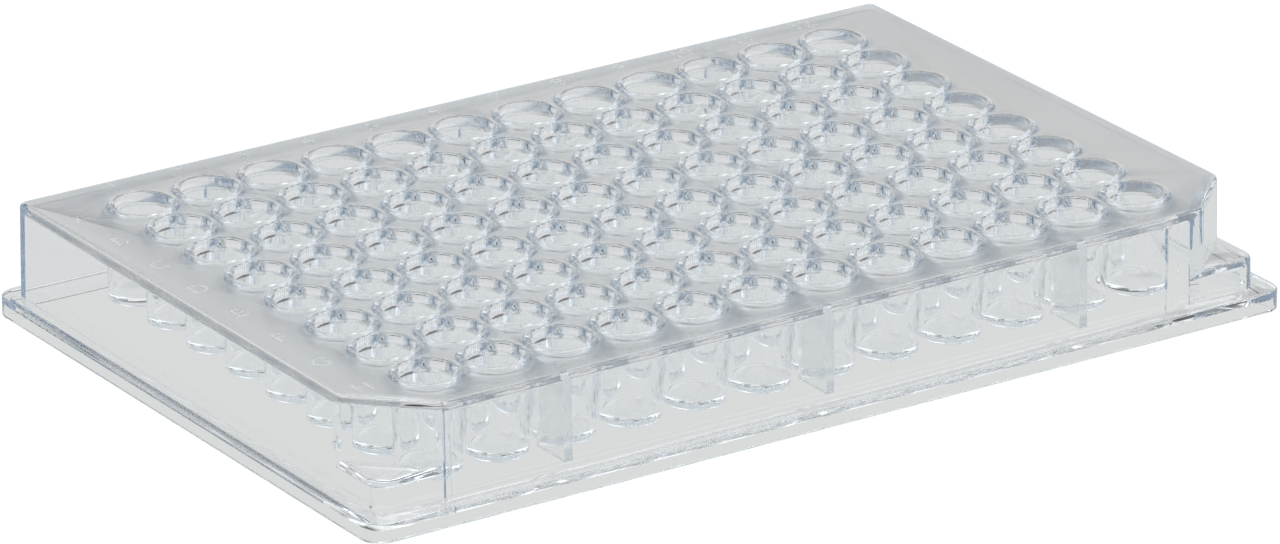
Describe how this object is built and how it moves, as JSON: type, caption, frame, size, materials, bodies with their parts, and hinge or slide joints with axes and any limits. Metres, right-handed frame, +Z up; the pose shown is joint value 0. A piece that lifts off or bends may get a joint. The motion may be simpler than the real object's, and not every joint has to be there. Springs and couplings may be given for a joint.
{
  "type": "well plate",
  "caption": "Clear one-piece laboratory plate: a flat deck of open round wells in a regular grid, with a walled skirt, a stepped foot flange and two cut corners.",
  "frame": {"origin": "centre of the footprint, on the surface the plate stands on", "axes": "+X runs along the long side in the order the columns are counted, +Y points from the cut corners to the row counted first, +Z is up out of the wells"},
  "size_m": [0.1278, 0.0854, 0.0143],
  "materials": {
    "clear_polystyrene": "clear moulded polystyrene with a faint cool tint, smooth and glossy"
  },
  "bodies": {
    "root": {"plate": "clear_polystyrene"}
  },
  "joints": []
}
